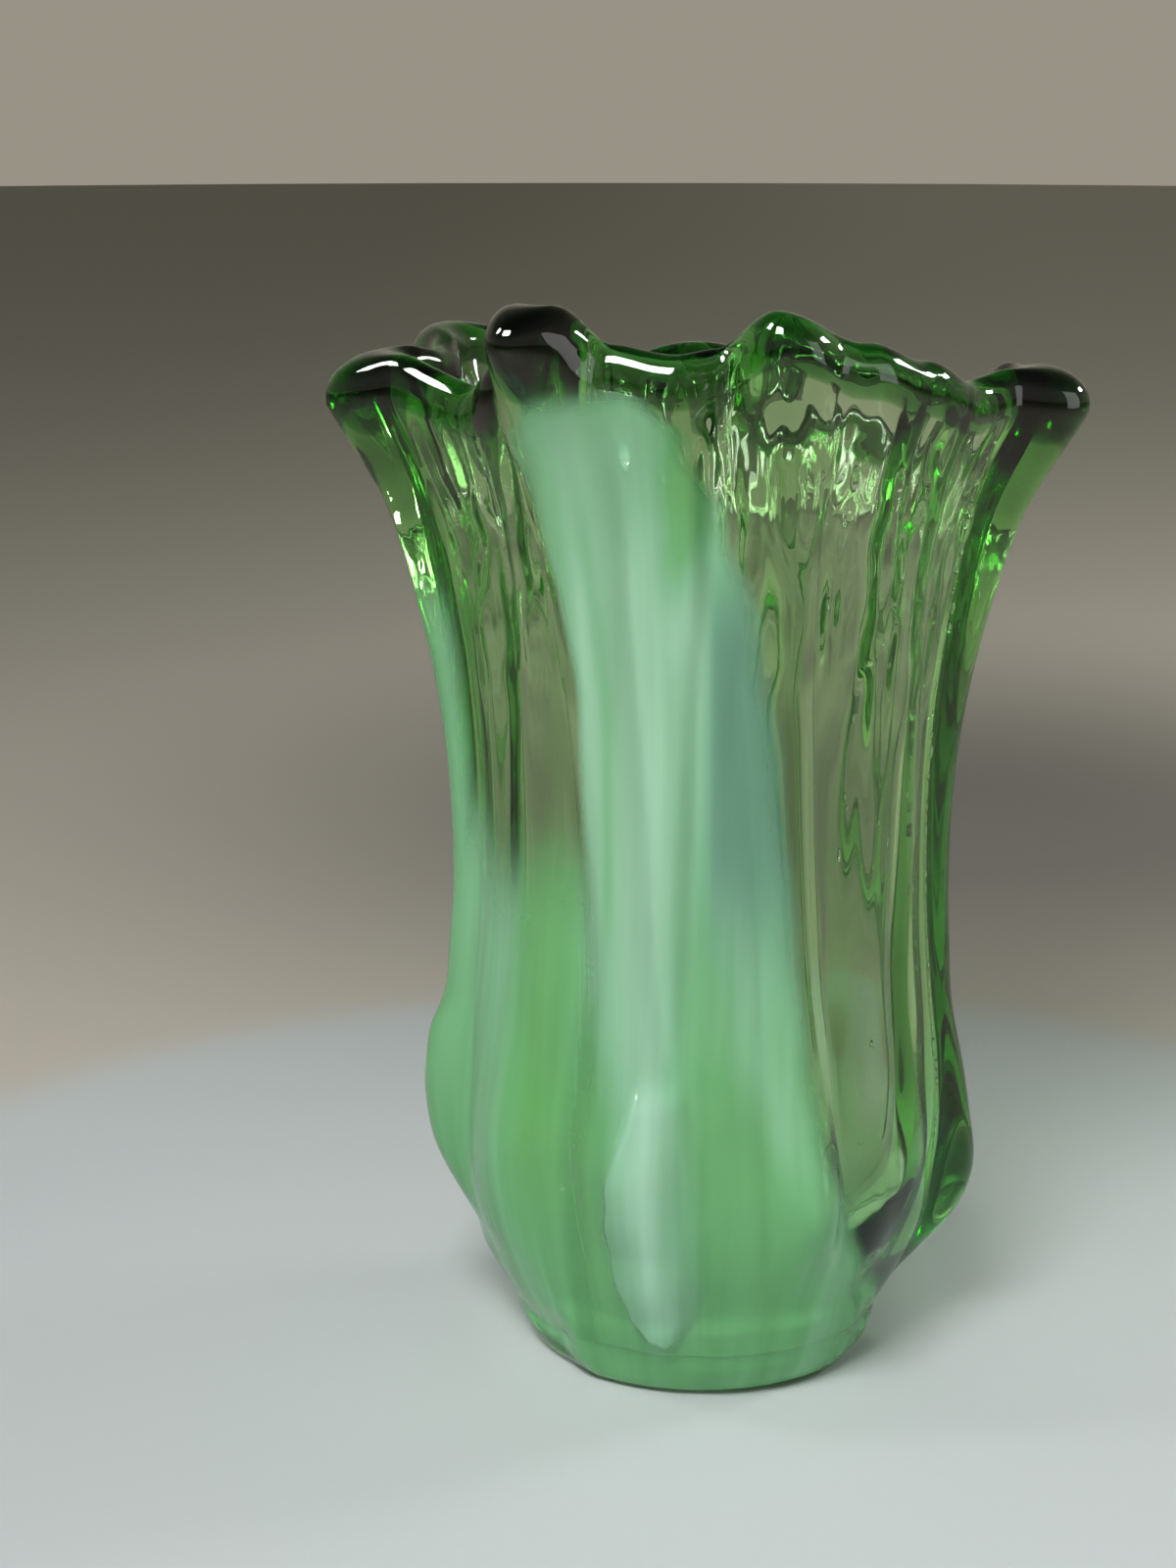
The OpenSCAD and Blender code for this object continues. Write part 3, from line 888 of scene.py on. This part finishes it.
# %% Seeds and bubbles
def curve_x(z):
    """The radius of the plain outside at a height."""
    low, high = 0.0, float(SPANS)
    for _ in range(24):
        middle = (low + high) / 2
        if curve(OUTER, middle).y < z:
            low = middle
        else:
            high = middle
    return curve(OUTER, low).x


def bubbles(name, places, sides=10, rings=7):
    """Small spheres at (angle, height, depth, half width, half height) in the wall, in mm."""
    bm = bmesh.new()
    for angle, z, depth, half, tall in places:
        centre = blown(angle, curve_x(z) - depth, z, 1)
        made = bmesh.ops.create_uvsphere(bm, u_segments=sides, v_segments=rings, radius=MM)
        size = Vector((min(half, 1.0), half, tall))
        bmesh.ops.scale(bm, verts=made["verts"], vec=size)
        turn = Matrix.Rotation(math.atan2(centre.y, centre.x), 3, "Z")
        bmesh.ops.rotate(bm, verts=made["verts"], cent=(0, 0, 0), matrix=turn)
        bmesh.ops.translate(bm, verts=made["verts"], vec=centre)
    return keep(name, bm)


# A line of seeds under the edge of the right rib, some in the rim, and some all round.
SEED_FIRST, SEED_LAST, SEED_DEPTH = 58.0, 226, 1.2
dice = random.Random(7)
seeds = []
height = SEED_FIRST
while height < SEED_LAST:
    edge = RIBS["rib_right"][0] - 0.93 * follow(RIB_WIDTH, height)
    size = dice.uniform(0.55, 1.1)
    seeds.append((edge + dice.uniform(-0.5, 0.5), height, SEED_DEPTH, size,
                  size * dice.uniform(1.2, 2.4)))
    height += dice.uniform(3.0, 7.5)
for _ in range(14):
    size = dice.uniform(0.35, 0.8)
    seeds.append((dice.uniform(246, 263), dice.uniform(231, 234), 0.6, size, size * 1.2))
for _ in range(16):
    size = dice.uniform(0.3, 0.6)
    seeds.append((dice.uniform(292, 342), dice.uniform(120, 222), dice.uniform(1, 2.5), size,
                  size * dice.uniform(1.5, 3.5)))
for _ in range(22):
    size = dice.uniform(0.3, 0.65)
    seeds.append((dice.uniform(0, 235), dice.uniform(30, 224), dice.uniform(1, 2.5), size,
                  size * dice.uniform(1.2, 3)))
air = bubbles("seeds", seeds)
eye = bubbles("eye_bubble", [(254, 220, -1.5, 1.6, 4.4), (300, 213, 0.8, 1.1, 3.2),
                             (318, 196, 0.8, 0.8, 4.0)], 24, 16)
material, tree, output, add = finish("trapped_air")
inside = add("ShaderNodeBsdfPrincipled", {"Base Color": (1, 1, 1, 1), "Roughness": 0.0,
                                          "IOR": 1.45, "Transmission Weight": 1.0})
tree.links.new(inside.outputs["BSDF"], output.inputs["Surface"])
for piece in (air, eye):
    piece.data.materials.append(material)
    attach(piece, "root")
print(len(seeds), "seeds")
